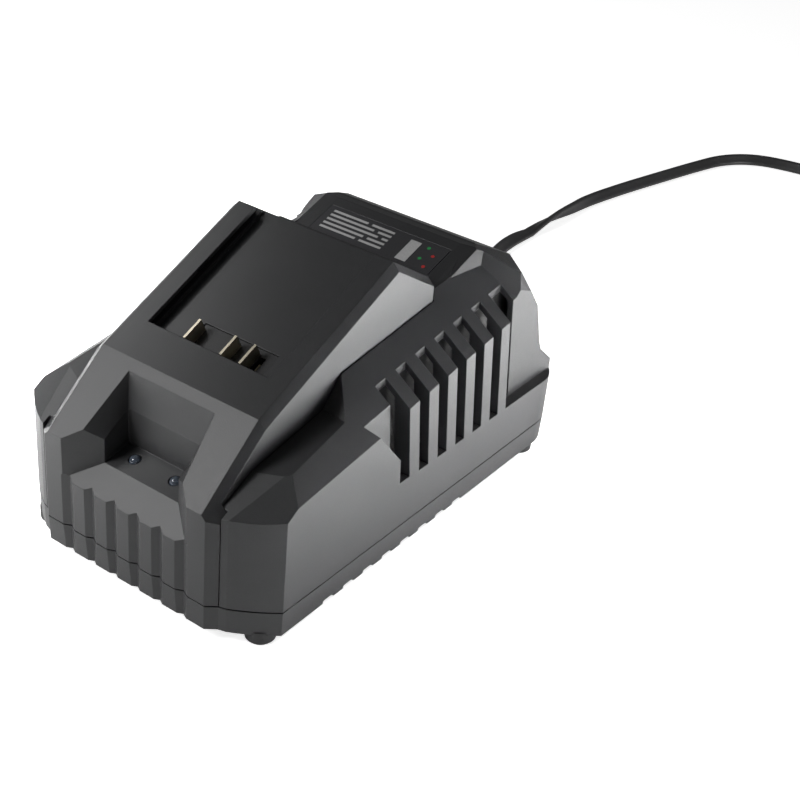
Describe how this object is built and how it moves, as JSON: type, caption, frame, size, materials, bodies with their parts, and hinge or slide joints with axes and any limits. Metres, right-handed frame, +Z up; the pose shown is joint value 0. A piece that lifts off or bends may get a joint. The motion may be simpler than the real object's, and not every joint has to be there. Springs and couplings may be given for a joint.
{
  "type": "power tool battery charger",
  "caption": "Wedge-shaped mains charger with a sloping slide-on battery channel, two indicators, finned side vents, a label hood and a flat mains lead.",
  "frame": {"origin": "on the table under the middle of the housing, without the lead", "axes": "+X to the right when facing the ribbed front, +Y to the rear where the lead leaves, +Z up"},
  "size_m": [0.1841, 0.6813, 0.1096],
  "materials": {
    "housing_black": "fine moulded texture, satin",
    "dock_black": "fine moulded texture, satin",
    "base_black": "fine moulded texture, satin",
    "terminal_black": "moulded nylon, satin",
    "contact_metal": "nickel plated, satin",
    "led_clear": "clear domed",
    "lead_metal": "tinned",
    "board_green": "solder mask",
    "rubber_grey": "moulded",
    "screw_steel": "zinc plated",
    "label_film": null,
    "cord_black": "flat PVC sheath, satin",
    "plug_black": "moulded",
    "pin_brass": "plain",
    "tie_black": "strap",
    "ferrite_grey": "sintered",
    "bobbin_black": "moulded",
    "winding_yellow": "polyester tape",
    "copper_wire": "enamelled",
    "capacitor_blue": "shrunk sleeve",
    "component_black": "moulded",
    "component_yellow": "boxed film",
    "heat_sink": "extruded",
    "fuse_glass": "clear",
    "socket_white": "moulded nylon",
    "wire_red": "PVC",
    "wire_blue": "PVC",
    "sheet_black": "insulating sheet"
  },
  "bodies": {
    "root": {"lower_housing": "base_black", "upper_housing": "housing_black", "dock_cover": "dock_black", "rubber_feet": "rubber_grey", "housing_screws": "screw_steel", "dock_screws": "screw_steel", "label_plate": "label_film", "terminal_block": "terminal_black", "terminal_screws": "screw_steel", "signal_contact": "contact_metal", "led_left": "led_clear", "led_right": "led_clear", "led_legs": "lead_metal", "led_board": "board_green", "main_board": "board_green", "board_screws": "screw_steel", "bulk_capacitor": "capacitor_blue", "output_capacitors": "capacitor_blue", "filter_capacitor": "component_yellow", "bridge_rectifier": "component_black", "primary_heat_sink": "heat_sink", "secondary_heat_sink": "heat_sink", "switching_transistor": "component_black", "output_rectifier": "component_black", "control_chip": "component_black", "optocoupler": "socket_white", "output_socket": "socket_white", "signal_socket": "socket_white", "inlet_terminal": "socket_white", "output_wires": "wire_red", "led_wires": "wire_red", "mains_wires": "wire_blue", "strain_relief": "cord_black", "cord_clamp": "bobbin_black", "clamp_screws": "screw_steel", "blade_negative": "contact_metal", "blade_sense": "contact_metal", "blade_positive": "contact_metal", "transformer_core": "ferrite_grey", "transformer_bobbin": "bobbin_black", "transformer_winding": "winding_yellow", "choke_core": "ferrite_grey", "choke_coils": "copper_wire", "fuse": "fuse_glass", "fuse_clips": "lead_metal", "mains_cord": "cord_black", "cord_tail": "cord_black", "cord_coil": "cord_black", "cord_tie": "tie_black", "plug_body": "plug_black", "plug_pins": "pin_brass", "insulation_sheets": "sheet_black"}
  },
  "joints": []
}
